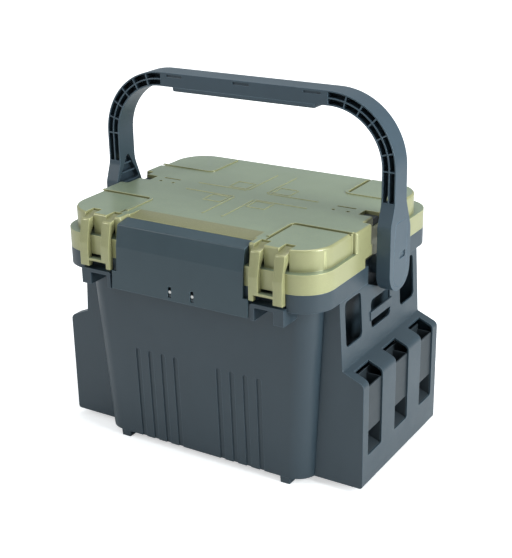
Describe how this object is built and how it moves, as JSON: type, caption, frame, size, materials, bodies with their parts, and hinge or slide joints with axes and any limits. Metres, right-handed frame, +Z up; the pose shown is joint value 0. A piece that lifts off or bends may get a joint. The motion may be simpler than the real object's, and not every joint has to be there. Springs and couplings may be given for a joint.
{
  "type": "fishing seat box",
  "caption": "Deep tackle box to sit on, with a hinged hard lid, front latches and flap, side pockets, a lift-out tray and a swinging carrying handle.",
  "frame": {"origin": "On the floor that the four feet stand on, midway between the side frames and midway between the two pairs of feet.", "axes": "+X runs across the box to its right side as seen from the front, +Y runs to the back, +Z is up."},
  "size_m": [0.475, 0.367, 0.5095],
  "materials": {
    "case_plastic": "dark slate moulded plastic, fine grain, satin",
    "insert_plastic": "near-black moulded plastic",
    "handle_plastic": "dark slate moulded plastic, satin",
    "flap_plastic": "dark slate moulded plastic, satin",
    "lid_plastic": "olive plastic with a satin metallic sheen",
    "tray_plastic": "grey moulded plastic",
    "pin_steel": "bright stainless steel"
  },
  "bodies": {
    "case": {"tub": "case_plastic", "end_frame_right": "case_plastic", "end_frame_left": "case_plastic", "pocket_insert_right": "insert_plastic", "pocket_insert_left": "insert_plastic", "belt_bar_right": "case_plastic", "belt_bar_left": "case_plastic", "frame_screws": "pin_steel", "handle_pivot_right": "pin_steel", "handle_pivot_left": "pin_steel", "hinge_pin_right": "pin_steel", "hinge_pin_left": "pin_steel", "strike_studs": "pin_steel"},
    "lid": {"lid_shell": "lid_plastic", "lid_liner": "insert_plastic", "lid_screws": "pin_steel", "lid_socket_right": "insert_plastic", "lid_socket_left": "insert_plastic", "latch_pin_right": "pin_steel", "latch_pin_left": "pin_steel", "flap_pin": "pin_steel"},
    "handle": {"handle_frame": "handle_plastic", "handle_grip": "handle_plastic", "handle_cap_right": "handle_plastic", "handle_cap_left": "handle_plastic"},
    "latch_right": {"latch_right": "lid_plastic"},
    "latch_left": {"latch_left": "lid_plastic"},
    "flap": {"front_flap": "flap_plastic"},
    "tray": {"lift_tray": "tray_plastic"}
  },
  "joints": [
    {"name": "lid_hinge", "type": "hinge", "parent": "case", "child": "lid", "pos_m": [0, 0.179, 0.2914], "axis": [-1, 0, 0], "range_deg": [0, 25]},
    {"name": "handle_swing", "type": "hinge", "parent": "case", "child": "handle", "pos_m": [0, 0.003, 0.279], "axis": [1, 0, 0], "range_deg": [-90, 90]},
    {"name": "latch_right_turn", "type": "hinge", "parent": "lid", "child": "latch_right", "pos_m": [0.1326, -0.151, 0.3405], "axis": [-1, 0, 0], "range_deg": [0, 100]},
    {"name": "latch_left_turn", "type": "hinge", "parent": "lid", "child": "latch_left", "pos_m": [-0.1326, -0.151, 0.3405], "axis": [-1, 0, 0], "range_deg": [0, 100]},
    {"name": "flap_turn", "type": "hinge", "parent": "lid", "child": "flap", "pos_m": [0, -0.15, 0.34], "axis": [-1, 0, 0], "range_deg": [0, 100]},
    {"name": "tray_lift", "type": "slide", "parent": "case", "child": "tray", "axis": [0, 0, 1], "range_m": [0, 0.018]}
  ]
}
